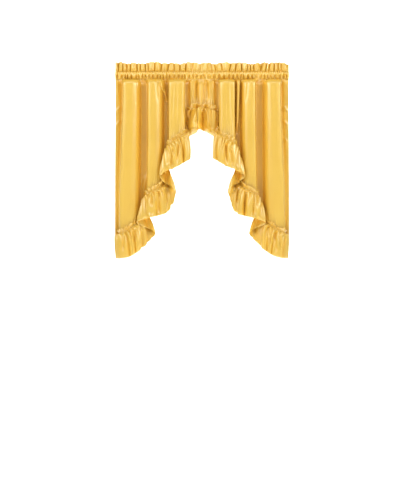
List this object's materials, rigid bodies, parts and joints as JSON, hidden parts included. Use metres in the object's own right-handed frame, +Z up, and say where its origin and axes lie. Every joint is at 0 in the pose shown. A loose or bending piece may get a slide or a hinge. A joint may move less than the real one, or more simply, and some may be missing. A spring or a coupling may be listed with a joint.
{
  "type": "window swag",
  "caption": "Gathered satin window swag with a frilled rod-pocket heading, deep vertical folds and a ruffle along its slanting lower edges, open like an arch in the middle.",
  "frame": {"origin": "on the axis of the rod that the pocket holds, in the middle of the pair", "axes": "+X to the right as seen from the room, -Y to the room, +Z up"},
  "size_m": [0.8639, 0.111, 0.9698],
  "materials": {
    "satin": "golden yellow satin"
  },
  "bodies": {
    "root": {"panel_left": "satin", "panel_right": "satin", "ruffle_left": "satin", "ruffle_right": "satin", "heading_left": "satin", "heading_right": "satin"}
  },
  "joints": []
}
